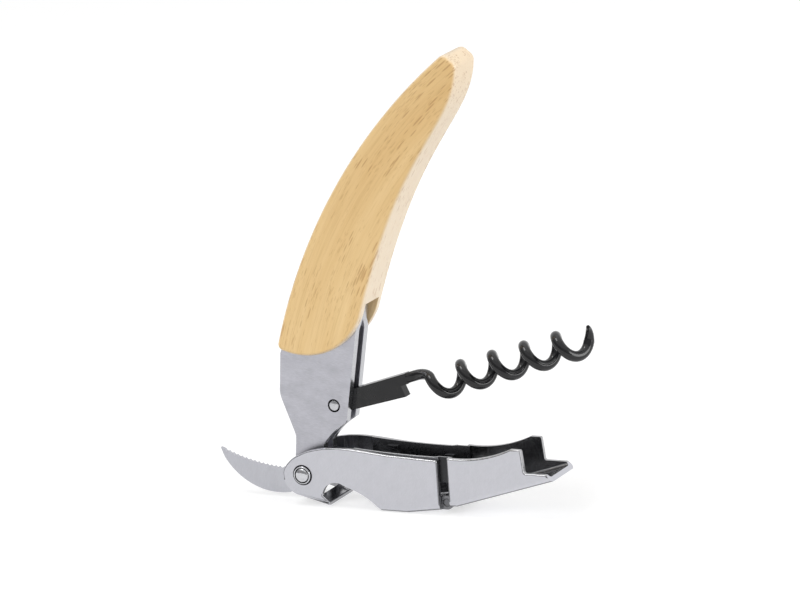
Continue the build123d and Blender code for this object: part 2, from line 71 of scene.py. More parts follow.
# Sockets of the Mix node when it mixes colours
MIX_FACTOR, MIX_FIRST, MIX_SECOND, MIX_RESULT = 0, 6, 7, 2


def material(name):
    """New node material with its Principled shader; returns the material, its tree and the shader."""
    made = bpy.data.materials.new(name)
    made.use_nodes = True
    tree = made.node_tree
    return made, tree, tree.nodes["Principled BSDF"]


def node(tree, kind, **settings):
    """New shader node with its settings and, by name, its input values."""
    made = tree.nodes.new(kind)
    for key, value in settings.items():
        if hasattr(made, key):
            setattr(made, key, value)
        else:
            made.inputs[key.replace("_", " ")].default_value = value
    return made


def link(tree, source, target):
    """Joins one socket to another."""
    tree.links.new(source, target)


def fed(tree, socket, value):
    """Gives a socket a value: another socket, a number or a colour."""
    if isinstance(value, bpy.types.NodeSocket):
        link(tree, value, socket)
    else:
        socket.default_value = value if isinstance(value, float) else (*value, 1.0)


def parted(tree, vector):
    """The three outputs X, Y and Z of a vector socket."""
    made = node(tree, "ShaderNodeSeparateXYZ")
    link(tree, vector, made.inputs["Vector"])
    return made.outputs


def stretched(tree, turn=(0.0, 0.0, 0.0), scale=(1.0, 1.0, 1.0)):
    """Object coordinates in millimetres, turned and then scaled along each axis."""
    place = node(tree, "ShaderNodeTexCoord")
    turned = node(tree, "ShaderNodeMapping", vector_type="POINT")
    turned.inputs["Rotation"].default_value = turn
    turned.inputs["Scale"].default_value = (1 / MM, 1 / MM, 1 / MM)
    sized = node(tree, "ShaderNodeMapping", vector_type="POINT")
    sized.inputs["Scale"].default_value = scale
    link(tree, place.outputs["Object"], turned.inputs["Vector"])
    link(tree, turned.outputs["Vector"], sized.inputs["Vector"])
    return sized.outputs["Vector"]


def noise(tree, vector, scale=1.0, detail=3.0, roughness=0.6):
    """Value of a noise at the given place."""
    made = node(tree, "ShaderNodeTexNoise", Scale=scale, Detail=detail, Roughness=roughness)
    link(tree, vector, made.inputs["Vector"])
    return made.outputs["Fac"]


def remap(tree, value, low, high, to_low=0.0, to_high=1.0):
    """Value moved from one range to another, held at its ends."""
    made = node(tree, "ShaderNodeMapRange", clamp=True)
    for name, number in (("From Min", low), ("From Max", high), ("To Min", to_low), ("To Max", to_high)):
        made.inputs[name].default_value = number
    link(tree, value, made.inputs["Value"])
    return made.outputs["Result"]


def blended(tree, first, second, factor, mode="MIX"):
    """Colour between two colours or sockets by a factor."""
    made = node(tree, "ShaderNodeMix", data_type="RGBA", blend_type=mode)
    fed(tree, made.inputs[MIX_FACTOR], factor)
    fed(tree, made.inputs[MIX_FIRST], first)
    fed(tree, made.inputs[MIX_SECOND], second)
    return made.outputs[MIX_RESULT]


def combined(tree, first, second, operation):
    """Result of one operation on two sockets or numbers."""
    made = node(tree, "ShaderNodeMath", operation=operation)
    fed(tree, made.inputs[0], first)
    fed(tree, made.inputs[1], second)
    return made.outputs[0]


def bumped(tree, shader, height, depth, strength):
    """Bump of the given depth in millimetres on a shader."""
    made = node(tree, "ShaderNodeBump", Strength=strength, Distance=depth * MM)
    link(tree, height, made.inputs["Height"])
    link(tree, made.outputs["Normal"], shader.inputs["Normal"])


# Wood of the handle, lengths in millimetres: the bend of its grain, the heights between which its upper
# end is darkened as painted shade and shows open pores, and the depths between which the sides of its slot begin
GRAIN_CENTRE = PIVOT + Vector((139.5, 0.0, -9.4))
GRAIN_RADIUS = 150.5
TOP_SHADE_HEIGHTS = (45.0, 112.0)
OPEN_PORES = (98.0, 106.0)
SLOT_LIGHT_DEPTHS = (4.8, 5.4)

# How far a face of the wood looks sideways, from a narrow face to a broad one, and the wood's colours; the narrow
# faces' colours are partly painted sheen, the end tint is painted shade and the slot tone is painted light
BROAD_FACE = (0.45, 0.98)
DARK_BAND = (0.74, 0.495, 0.215)
LIGHT_BAND = (0.83, 0.60, 0.295)
DARK_FIBRE = (0.60, 0.375, 0.155)
PALE_EDGE_AND_SHEEN = (0.90, 0.76, 0.58)
EDGE_FIBRE_AND_SHEEN = (0.86, 0.68, 0.46)
PORE = (0.46, 0.235, 0.08)
TOP_SHADE_TINT = (0.90, 0.87, 0.82)
SLOT_PAINTED_LIGHT = (0.98, 0.74, 0.42)


def bent_grain(tree, scale):
    """Object coordinates in millimetres along the handle's bend: across, through and along the grain."""
    place = parted(tree, node(tree, "ShaderNodeTexCoord").outputs["Object"])
    x, z = (combined(tree, place[axis], 1 / MM, "MULTIPLY") for axis in ("X", "Z"))
    left = combined(tree, GRAIN_CENTRE.x, x, "SUBTRACT")
    up = combined(tree, z, GRAIN_CENTRE.z, "SUBTRACT")
    left_square, up_square = (combined(tree, side, side, "MULTIPLY") for side in (left, up))
    across = combined(tree, combined(tree, left_square, up_square, "ADD"), 0.5, "POWER")
    turn = combined(tree, up, left, "ARCTAN2")
    bent = node(tree, "ShaderNodeCombineXYZ")
    link(tree, combined(tree, across, scale[0], "MULTIPLY"), bent.inputs["X"])
    link(tree, combined(tree, place["Y"], scale[1] / MM, "MULTIPLY"), bent.inputs["Y"])
    link(tree, combined(tree, turn, GRAIN_RADIUS * scale[2], "MULTIPLY"), bent.inputs["Z"])
    return bent.outputs["Vector"]


def pore_row(tree, scale, spread, sizes):
    """Short dashes along the grain, each of its own size and larger where a broad noise is high."""
    cells = node(tree, "ShaderNodeTexVoronoi", feature="F1", Scale=1.0, Randomness=1.0)
    link(tree, bent_grain(tree, scale), cells.inputs["Vector"])
    chance = node(tree, "ShaderNodeSeparateColor")
    link(tree, cells.outputs["Color"], chance.inputs["Color"])
    broad = remap(tree, noise(tree, bent_grain(tree, spread), 1.0, 2.0, 0.5), 0.42, 0.60, *sizes)
    size = combined(tree, broad, remap(tree, chance.outputs["Red"], 0.0, 1.0, 0.3, 1.2), "MULTIPLY")
    beyond = combined(tree, cells.outputs["Distance"], size, "SUBTRACT")
    return remap(tree, beyond, -0.10, 0.04, 1.0, 0.0)


def pale_wood():
    """Lacquered pale hardwood: grain along the bent handle, dark pores, narrow faces paler partly as edge grain
    and partly as painted sheen, the upper end darker as painted shade and the slot's inner sides lighter as
    painted light.
    """
    made, tree, shader = material("pale_wood")
    surface = node(tree, "ShaderNodeTexCoord")
    place = parted(tree, surface.outputs["Object"])
    facing = parted(tree, surface.outputs["Normal"])
    broad_face = remap(tree, combined(tree, facing["Y"], 0.0, "ABSOLUTE"), *BROAD_FACE)
    narrow_face = combined(tree, 1.0, broad_face, "SUBTRACT")
    bands = noise(tree, bent_grain(tree, (0.30, 0.30, 0.014)))
    fibres = noise(tree, bent_grain(tree, (3.4, 3.4, 0.09)))

    long_pores = pore_row(tree, (1.9, 1.9, 0.19), (0.22, 0.22, 0.04), (0.02, 0.42))
    fine_pores = pore_row(tree, (3.2, 3.2, 0.36), (0.35, 0.35, 0.07), (0.0, 0.44))
    cut_pores = pore_row(tree, (1.15, 1.15, 1.15), (0.35, 0.35, 0.35), (0.12, 0.36))
    pores = combined(tree, long_pores, combined(tree, fine_pores, 0.6, "MULTIPLY"), "MAXIMUM")
    near_end = remap(tree, place["Z"], OPEN_PORES[0] * MM, OPEN_PORES[1] * MM)
    dots = combined(tree, cut_pores, combined(tree, near_end, narrow_face, "MULTIPLY"), "MULTIPLY")
    pores = combined(tree, pores, dots, "MAXIMUM")

    banded = blended(tree, DARK_BAND, LIGHT_BAND, remap(tree, bands, 0.3, 0.7))
    streaked = blended(tree, banded, DARK_FIBRE, remap(tree, fibres, 0.48, 0.80, 0.0, 0.55))
    # Narrow faces: paler edge grain, partly painted sheen that stands in for the lamps' glare
    edges = blended(tree, PALE_EDGE_AND_SHEEN, EDGE_FIBRE_AND_SHEEN, remap(tree, fibres, 0.45, 0.80, 0.0, 0.6))
    edge_grain_and_sheen = blended(tree, edges, streaked, broad_face)
    pore_depth = remap(tree, broad_face, 0.0, 1.0, 0.50, 0.56)
    marked = blended(tree, edge_grain_and_sheen, PORE, combined(tree, pores, pore_depth, "MULTIPLY"))
    # Painted shade: the upper end of the handle is darkened by its height
    toward_shaded_top = remap(tree, place["Z"], TOP_SHADE_HEIGHTS[0] * MM, TOP_SHADE_HEIGHTS[1] * MM)
    top_shaded = blended(tree, marked, TOP_SHADE_TINT, toward_shaded_top, "MULTIPLY")
    # Painted light: the inner sides of the slot are lightened where the plates and the near cheek shade them
    depth = combined(tree, place["Y"], 0.0, "ABSOLUTE")
    inner = remap(tree, depth, SLOT_LIGHT_DEPTHS[0] * MM, SLOT_LIGHT_DEPTHS[1] * MM, 1.0, 0.0)
    slot_painted_light = combined(tree, inner, broad_face, "MULTIPLY")
    link(tree, blended(tree, top_shaded, SLOT_PAINTED_LIGHT, slot_painted_light), shader.inputs["Base Color"])

    link(tree, remap(tree, fibres, 0.3, 0.7, 0.40, 0.54), shader.inputs["Roughness"])
    height = combined(tree, remap(tree, fibres, 0.2, 0.8, 0.0, 0.25), pores, "SUBTRACT")
    bumped(tree, shader, height, 0.05, 0.5)
    shader.inputs["Specular IOR Level"].default_value = 0.4
    shader.inputs["Coat Weight"].default_value = 0.35
    shader.inputs["Coat Roughness"].default_value = 0.25
    return made


def brushed_metal(name, colour, degrees, shade=0.10, clouds=0.25):
    """Brushed steel: fine scratches along one direction, and a share of broad clouds of coarser brushing."""
    made, tree, shader = material(name)
    turn = (0.0, radians(degrees), 0.0)
    fine = noise(tree, stretched(tree, turn, (0.8, 13.0, 13.0)), 1.0, 4.0, 0.65)
    broad = noise(tree, stretched(tree, turn, (0.25, 0.45, 0.45)), 1.0, 3.0, 0.5)
    dark = tuple(part * (1.0 - shade) for part in colour)
    light = tuple(part * (1.0 + shade) for part in colour)
    scratches = combined(tree, fine, 1.0 - clouds, "MULTIPLY")
    tone = combined(tree, scratches, combined(tree, broad, clouds, "MULTIPLY"), "ADD")
    tint = blended(tree, dark, light, remap(tree, tone, 0.32, 0.68))
    link(tree, tint, shader.inputs["Base Color"])
    link(tree, remap(tree, fine, 0.3, 0.7, 0.30, 0.46), shader.inputs["Roughness"])
    bumped(tree, shader, fine, 0.006, 0.6)
    shader.inputs["Metallic"].default_value = 1.0
    return made


def bright_metal(name, colour, rough):
    """Polished or bare steel with faint rubbing marks."""
    made, tree, shader = material(name)
    marks = noise(tree, stretched(tree), 1.6, 4.0, 0.6)
    dull = tuple(part * 0.88 for part in colour)
    tint = blended(tree, dull, colour, remap(tree, marks, 0.35, 0.65))
    link(tree, tint, shader.inputs["Base Color"])
    link(tree, remap(tree, marks, 0.3, 0.7, rough * 0.8, rough * 1.3), shader.inputs["Roughness"])
    shader.inputs["Metallic"].default_value = 1.0
    return made


def black_coat(name, sheen, rough):
    """Satin black coating with a fine orange-peel skin and slightly rubbed patches."""
    made, tree, shader = material(name)
    skin = noise(tree, stretched(tree), 4.0, 2.0, 0.5)
    patches = noise(tree, stretched(tree), 0.35, 3.0, 0.6)
    rubbed = remap(tree, patches, 0.35, 0.7)
    tint = blended(tree, (0.006, 0.006, 0.007), (0.013, 0.013, 0.014), rubbed)
    link(tree, tint, shader.inputs["Base Color"])
    link(tree, remap(tree, patches, 0.3, 0.7, *rough), shader.inputs["Roughness"])
    bumped(tree, shader, skin, 0.004, 0.4)
    shader.inputs["Specular IOR Level"].default_value = sheen
    return made


WOOD = pale_wood()
PLATE_STEEL = brushed_metal("brushed_plate", (0.485, 0.485, 0.527), -8.0, 0.20, 0.3)
LEVER_STEEL = brushed_metal("brushed_sheet", (0.575, 0.578, 0.618), 62.0, 0.10, 0.2)
BLADE_STEEL = brushed_metal("brushed_blade", (0.52, 0.524, 0.562), 78.0)
POLISHED = bright_metal("polished_steel", (0.44, 0.443, 0.456), 0.30)
BARE = bright_metal("bare_steel", (0.56, 0.565, 0.59), 0.22)
# Painted shade: a darker copy of the steel for the inside of the channels and the hook's front
SHADED_INSIDE = bright_metal("painted_shade_inside", (0.40, 0.402, 0.415), 0.20)
# Painted shade: near-black for the grooves of the rivet and pin and the ring under the rivet's head
GROOVE = bright_metal("groove_shadow", (0.012, 0.012, 0.013), 0.6)
RIVET = bright_metal("rivet_steel", (0.62, 0.625, 0.65), 0.14)
# Painted shade and painted dark reflection: dark lines on the lever rims, lower folds and hinge knuckles
SHADE_LINE_STEEL = bright_metal("painted_shade_line", (0.20, 0.201, 0.212), 0.25)
# Painted shade: dark steel for the channel spring's sides and the hinge pin, which lie in shade inside the levers
DARK_SHADE_STEEL = bright_metal("spring_steel", (0.17, 0.172, 0.182), 0.28)
# Painted shade, darker still, on the spring's tongues between the levers
DARK_SPRING = bright_metal("shaded_spring_steel", (0.05, 0.051, 0.054), 0.30)
BLACK = black_coat("black_coat", 0.36, (0.14, 0.21))
RUBBED_BLACK = black_coat("rubbed_black_coat", 0.42, (0.09, 0.14))

# Welding and the angles at which edges are joined, shaded smooth, rounded and taken for folds
WELD_GAP = 0.0005
JOINED_BELOW = radians(0.2)
SMOOTH_BELOW = radians(50.0)
ROUNDED_ABOVE = radians(28.0)
FOLDED_ABOVE = radians(60.0)


def merged_copy(name):
    """Welded copy of a solid's mesh, with flat areas joined into single faces."""
    welded = bmesh.new()
    welded.from_mesh(frame["nodes"][name].data)
    bmesh.ops.remove_doubles(welded, verts=welded.verts, dist=WELD_GAP * MM)
    bmesh.ops.dissolve_limit(
        welded, angle_limit=JOINED_BELOW, verts=welded.verts, edges=welded.edges, delimit={"NORMAL"}
    )
    welded.normal_update()
    return welded


def body_of(name):
    """Body that a solid belongs to."""
    bodies = frame["record"]["behaviour"]["bodies"]
    return next(body for body, members in bodies.items() if name in members)


def placed(name, mesh):
    """Object for a mesh that stands for the solid of that name and moves with its body."""
    piece = bpy.data.objects.new(name + "_piece", mesh)
    bpy.context.scene.collection.objects.link(piece)
    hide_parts(name)
    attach(piece, body_of(name))
    return piece


def smoothed(shape, name, finishes, choose=None):
    """Mesh from an edited shape, smooth but for its sharp edges, with one finish for each face."""
    for face in shape.faces:
        face.smooth = True
        face.material_index = choose(face) if choose else 0
    for rim in shape.edges:
        rim.smooth = rim.calc_face_angle(0.0) < SMOOTH_BELOW
    mesh = bpy.data.meshes.new(name)
    shape.to_mesh(mesh)
    shape.free()
    for finish in finishes:
        mesh.materials.append(finish)
    return mesh


def rounded(shape, edges, width, segments, held=True):
    """Rounds the given edges of a shape by a width in millimetres, held back where it would overlap."""
    bmesh.ops.bevel(
        shape, geom=edges, offset=width * MM, offset_type="OFFSET", segments=segments, profile=0.5,
        affect="EDGES", clamp_overlap=held, loop_slide=True,
    )
    shape.normal_update()


def sharp_edge(edge, angle):
    """Whether two faces meet in an edge at more than the angle."""
    return len(edge.link_faces) == 2 and edge.calc_face_angle(0.0) > angle


def dressed(name, finishes, edge=0.12, choose=None, reshape=None):
    """Piece that stands for a solid: its welded mesh, reshaped where asked, with rounded edges."""
    shape = merged_copy(name)
    if reshape:
        reshape(shape)
    rounded(shape, [part for part in shape.edges if sharp_edge(part, ROUNDED_ABOVE)], edge, 2)
    piece = placed(name, smoothed(shape, name + "_dressed", finishes, choose))
    weighted = piece.modifiers.new("flat_faces", "WEIGHTED_NORMAL")
    weighted.keep_sharp = True


# Levers, in millimetres, with heights and lengths from the pivot: folds and stamped rims
FOLD_WIDTH = 0.9
FOLD_STEPS = 5
SHORTEST_FOLD = 1.5
RIM_WIDTH = 0.3
RIM_DROP = 0.24
RIM_SWELL = 0.075
FLAT_SIDE = 0.9999

# Cap hook of the first lever: its reach, its lift off the floor, its thinner lip and its shorter web
HOOK_FRONT = 7.2
HOOK_BACK = -1.6
HOOK_TOP = -4.5
HOOK_FOLD_TOP = -5.0
HOOK_LIFT = 0.55
LIP_START = 6.3
LIP_TOP = -6.7
LIP_BOTTOM = -6.9
LIP_THINNER = 0.5
WEB_BACK = 2.6
WEB_SHORTER = Vector((1.1, 0.0, -0.37))

# Upper edge of the first lever: the cut behind its highest point and the trim round its eye
BACK_START = 4.0
BACK_END = 27.0
BACK_LEAST = 4.0
BACK_CUT = 0.85
HUMP_PEAK = 4 / 27
EYE_FRONT = 2.5
EYE_RUN = 8.0
EYE_LEAST = 4.0
EYE_CUT = 0.36

# Finishes of the levers by their place in the list, and where they change
BRUSHED, SHADED, CUT, SHADE_LINE = range(4)
LEVER_FINISHES = [LEVER_STEEL, SHADED_INSIDE, POLISHED, SHADE_LINE_STEEL]
KNUCKLE_REACH = 2.6
TIP_START = 68.0
NEAR = 0.05


def outward(vert):
    """Direction along Y from the middle to a point: 1 or -1."""
    return 1.0 if vert.co.y > 0.0 else -1.0


def is_outer_side(face):
    """Whether a face lies in the flat outer side of a channel."""
    side = abs(face.calc_center_median().y) / MM
    return side > LEVER_HALF - 0.02 and abs(face.normal.y) > 0.99


def lever_finish(face):
    """Brushed outside, painted shade inside and on the hook's front, polished cut edges, and dark lines of painted
    shade and painted dark reflection on the rims, lower folds and hinge knuckles of a folded channel.
    """
    place = face.calc_center_median() / MM
    ahead = place.x - PIVOT.x
    side = abs(place.y)
    across = abs(face.normal.y)
    on_knuckle = side < CHANNEL_HALF - 0.1 and (place - HINGE).xz.length < KNUCKLE_REACH
    on_rim = side > LEVER_HALF - 0.4 and 0.8 < across < 0.99 and face.normal.z > -0.05
    on_end = abs(face.normal.x) > 0.62 and across < 0.5
    on_lower_fold = face.normal.z < -0.6 and across > 0.3
    # Painted shade at the knuckles between the levers, painted dark reflection on the rims' slopes
    if on_knuckle or on_rim:
        return SHADE_LINE
    if on_end and ahead > TIP_START:
        return BRUSHED
    # Painted shade on the front end faces of the hook
    if on_end:
        return SHADED if ahead < HOOK_FRONT + 0.5 else CUT
    # Painted shadow line along the lower folds
    if on_lower_fold:
        return SHADE_LINE
    if face.normal.z < -0.05 or is_outer_side(face):
        return BRUSHED
    if side < CHANNEL_HALF + 0.03:
        return SHADED
    return CUT if ahead > HOOK_FRONT else BRUSHED


def folded_edge(edge):
    """Whether the sheet is folded along an edge of a channel: inside it, or outside under the hook."""
    if len(edge.link_faces) != 2 or edge.calc_face_angle(0.0) < FOLDED_ABOVE:
        return False
    run = edge.verts[1].co - edge.verts[0].co
    middle = (edge.verts[0].co + edge.verts[1].co) / 2 / MM - PIVOT
    side = abs(middle.y)
    if abs(run.y) > 0.1 * run.length:
        return False
    long = run.length > SHORTEST_FOLD * MM
    inside = not edge.is_convex and abs(side - CHANNEL_HALF) < NEAR and long
    under = any(face.normal.z < -0.5 for face in edge.link_faces)
    on_hook = abs(side - LEVER_HALF) < NEAR and 0.0 < middle.x < HOOK_FRONT and middle.z < HOOK_FOLD_TOP
    return inside or (on_hook and under)


def lifted_hook(shape):
    """Lifts the cap hook a little off the floor, thins its lip and shortens the web behind it."""
    for vert in shape.verts:
        place = vert.co / MM - PIVOT
        if place.x < HOOK_FRONT and place.z < HOOK_TOP:
            share = min(1.0, max(0.0, place.x - HOOK_BACK) / (HOOK_FRONT - HOOK_BACK))
            vert.co.z += HOOK_LIFT * share * MM
        if LIP_START < place.x < HOOK_FRONT and LIP_BOTTOM < place.z < LIP_TOP:
            vert.co.z -= LIP_THINNER * MM
        if abs(place.x - WEB_BACK) < NEAR and place.z < HOOK_TOP and abs(place.y) < CHANNEL_HALF + NEAR:
            vert.co += WEB_SHORTER * MM


def lowered_back(shape):
    """Takes a little off the first lever's upper edge, behind its highest point and round its eye."""
    for vert in shape.verts:
        place = vert.co / MM - PIVOT
        share = (place.x - BACK_START) / (BACK_END - BACK_START)
        if 0.0 < share < 1.0 and place.z > BACK_LEAST:
            vert.co.z -= BACK_CUT * share * share * (1.0 - share) / HUMP_PEAK * MM
        past = (EYE_FRONT - place.x) / EYE_RUN
        if past > 0.0 and place.z > 0.0 and place.xz.length > EYE_LEAST:
            vert.co.z -= EYE_CUT * past * past * place.z * MM


def on_open_rim(vert):
    """Whether a point lies on the rim of a channel's outer side, away from its folds and its underside."""
    inner = [face for face in vert.link_faces if not is_outer_side(face)]
    folded = any(0.2 < abs(face.normal.y) < FLAT_SIDE or face.normal.z < -0.3 for face in vert.link_faces)
    return 0 < len(inner) < len(vert.link_faces) and not folded


def eased_rim(shape):
    """Rounds the rim of a channel's outer sides in two slopes, as on stamped sheet, away from its folds."""
    outer = [face for face in shape.faces if is_outer_side(face) and abs(face.normal.y) > FLAT_SIDE]
    bmesh.ops.inset_region(
        shape, faces=outer, thickness=RIM_WIDTH * MM, use_even_offset=True, use_boundary=True
    )
    shape.normal_update()
    rim = {vert for vert in shape.verts if on_open_rim(vert)}
    across = [edge for edge in shape.edges if len(rim & set(edge.verts)) == 1
              and all(is_outer_side(face) for face in edge.link_faces)]
    for vert in rim:
        vert.co.y -= RIM_DROP * MM * outward(vert)
    halved = bmesh.ops.subdivide_edges(shape, edges=across, cuts=1)["geom_inner"]
    for vert in (part for part in halved if isinstance(part, bmesh.types.BMVert)):
        vert.co.y += RIM_SWELL * MM * outward(vert)
    shape.normal_update()


def folded_sheet(shape):
    """Gives a lever the small forms of folded sheet: hook, upper edge, rounded folds and eased rims."""
    lifted_hook(shape)
    lowered_back(shape)
    rounded(shape, [edge for edge in shape.edges if folded_edge(edge)], FOLD_WIDTH, FOLD_STEPS, False)
    eased_rim(shape)


# Worm: where its flat shank ends and its round wire begins, in millimetres along the frame's X
SHANK_END = 5.0


def worm_finish(face):
    """Satin shank and rubbed, shinier wire of the worm."""
    return 1 if face.calc_center_median().x / MM > SHANK_END else 0


def plate_finish(face):
    """Brushed sides and smooth cut edges of a frame plate."""
    return 0 if abs(face.normal.y) > 0.5 else 1


dressed("wooden_handle", [WOOD], edge=0.2)
for plate in ("frame_plate_near", "frame_plate_far"):
    dressed(plate, [PLATE_STEEL, BARE], choose=plate_finish)
for lever in ("first_lever", "second_lever"):
    dressed(lever, LEVER_FINISHES, choose=lever_finish, reshape=folded_sheet)
dressed("worm", [BLACK, RUBBED_BLACK], edge=0.25, choose=worm_finish)
for small in ("tang_rivet_back", "tang_rivet_front", "lever_washer_near", "lever_washer_far",
              "knife_washer_near", "knife_washer_far", "spring_rivet"):
    dressed(small, [BARE], edge=0.1)
# The hinge pin is dark as painted shade at the bottom of the gap between the levers
dressed("hinge_pin", [DARK_SHADE_STEEL], edge=0.2)

# Channel spring, in millimetres: the reach of its walls, the curve of their upper edges from the back
# as a constant, a slope and a square, and its tabs as place ahead, height, length and tallness
WALL_BACK = PIVOT.x + 14.2
WALL_FRONT = PIVOT.x + 36.7
WALL_TOP = (7.58, -0.085, 0.00202)
WALL_TOP_LEAST = 5.0
WALL_STEPS = 14
LONG_RUN = 10.0
WALL_ROUND = 0.29
SPRING_SHEET = 0.6
TAB_PROUD = 0.8
TAB_ROOT = 0.2
SPRING_TABS = ((20.2, 5.3, 3.0, 1.2), (20.2, 3.6, 3.2, 1.0), (36.0, 4.0, 2.4, 0.9))


def spring_finish(face):
    """Sides of the channel spring dark as painted shade, bright upper edges, and darker painted shade on its
    tongues between the levers.
    """
    if face.normal.z > 0.2:
        return 1
    return 2 if face.calc_center_median().x / MM > WALL_FRONT else 0


def long_wall_top(edge):
    """Whether an edge is a long one at the top of one of the spring's walls."""
    high = all(vert.co.z > PIVOT.z * MM for vert in edge.verts)
    on_wall = all(WALL_BACK <= vert.co.x / MM <= WALL_FRONT for vert in edge.verts)
    return high and on_wall and edge.calc_length() > LONG_RUN * MM


def upper_edge(edge):
    """Whether a sharp edge borders a face that looks up and runs along the lever."""
    looks_up = any(face.normal.z > 0.7 for face in edge.link_faces)
    along = abs(edge.verts[0].co.y - edge.verts[1].co.y) < 0.1 * MM
    return sharp_edge(edge, FOLDED_ABOVE) and looks_up and along


def tabbed_spring():
    """Channel spring with curved, rounded upper edges and small tabs pressed in from its two walls."""
    shape = merged_copy("channel_spring")
    tops = [edge for edge in shape.edges if long_wall_top(edge)]
    bmesh.ops.subdivide_edges(shape, edges=tops, cuts=WALL_STEPS, use_grid_fill=True)
    for vert in shape.verts:
        if vert.co.z / MM - PIVOT.z > WALL_TOP_LEAST and vert.co.x / MM <= WALL_FRONT:
            along = vert.co.x / MM - WALL_BACK
            rise = sum(part * along ** power for power, part in enumerate(WALL_TOP))
            vert.co.z = (PIVOT.z + rise) * MM
    shape.normal_update()
    rounded(shape, [edge for edge in shape.edges if upper_edge(edge)], WALL_ROUND, 3)
    inner_side = CHANNEL_HALF - SPRING_SHEET
    for ahead, height, length, tallness in SPRING_TABS:
        size = Matrix.Diagonal((length, TAB_PROUD + TAB_ROOT, tallness, 1.0))
        for side in (-1.0, 1.0):
            middle = PIVOT + Vector((ahead, side * (inner_side - TAB_PROUD / 2), height))
            bmesh.ops.create_cube(shape, size=MM, matrix=Matrix.Translation(middle * MM) @ size)
    shape.normal_update()
    finishes = [DARK_SHADE_STEEL, POLISHED, DARK_SPRING]
    mesh = smoothed(shape, "channel_spring_dressed", finishes, spring_finish)
    placed("channel_spring", mesh)


tabbed_spring()

# Lever rivet, as radius and y from one end to the middle: low dome, thin groove, bright rim and seat,
# whose outer ring under the head and the groove take near-black painted shade
SEAT = RIVET_HALF - 0.85
RIVET_PROFILE = [
    (0.0, RIVET_HALF), (0.6, SEAT + 0.82), (1.1, SEAT + 0.73), (1.5, SEAT + 0.58), (1.76, SEAT + 0.36),
    (1.82, SEAT + 0.14), (1.92, SEAT + 0.14), (1.97, SEAT + 0.36), (2.07, SEAT + 0.42), (2.2, SEAT + 0.39),
    (2.3, SEAT + 0.24), (2.34, SEAT + 0.05), (2.64, SEAT - 0.05), (2.64, SEAT - 0.09), (1.6, SEAT - 0.09),
]
RIVET_SHADE_BANDS = (4, 5, 6, 11, 12)

# Worm pin, in the same way: flush face inside a thin groove that takes near-black painted shade
PIN_PROFILE = [
    (0.0, PIN_HALF), (1.22, PIN_HALF), (1.28, PIN_HALF - 0.05),
    (1.30, PIN_HALF - 0.45), (1.64, PIN_HALF - 0.45), (1.65, PIN_HALF - 0.5),
]
PIN_SHADE_BANDS = (2, 3, 4)
TURNED_SIDES = 72


def ring(shape, centre, radius, y):
    """Points of a circle round an axis along Y, or the one point where its radius is 0."""
    sides = TURNED_SIDES if radius > 0.0 else 1
    turns = [2 * pi * step / TURNED_SIDES for step in range(sides)]
    places = [(centre.x + radius * cos(turn), y, centre.z + radius * sin(turn)) for turn in turns]
    return [shape.verts.new(Vector(place) * MM) for place in places]


def turned(name, slot, centre, half, shade_bands, finishes):
    """Piece turned round an axis along Y, alike at both ends, with the second finish, near-black painted shade, on
    its listed bands.
    """
    profile = half + [(radius, -y) for radius, y in reversed(half)]
    dark = {*shade_bands, *(2 * len(half) - 2 - band for band in shade_bands)}
    shape = bmesh.new()
    rings = [ring(shape, centre, radius, y) for radius, y in profile]
    for band, (one, two) in enumerate(zip(rings, rings[1:])):
        for step in range(TURNED_SIDES):
            following = (step + 1) % TURNED_SIDES
            first = [one[step], one[following]] if len(one) > 1 else one
            second = [two[following], two[step]] if len(two) > 1 else two
            shape.faces.new(first + second).material_index = 1 if band in dark else 0
    bmesh.ops.recalc_face_normals(shape, faces=shape.faces)
    placed(name, smoothed(shape, name + "_turned", finishes, lambda face: face.material_index))


turned("lever_rivet", "polished_steel", PIVOT, RIVET_PROFILE, RIVET_SHADE_BANDS, [RIVET, GROOVE])
turned("worm_pin", "plain_steel", WORM_PIN, PIN_PROFILE, PIN_SHADE_BANDS, [BARE, GROOVE])

# Serration of the foil knife, in millimetres: scallops along the arc of its hollow edge
EDGE_CENTRE = PIVOT + Vector((-6.42, 0.0, 47.07))
EDGE_RADIUS = 47.27
EDGE_ANGLES = (radians(22.4), radians(13.0), radians(3.6))
TEETH = 14
SCALLOP = 0.6
CUTTER_LENGTH = 4.0
CUTTER_SIDES = 24


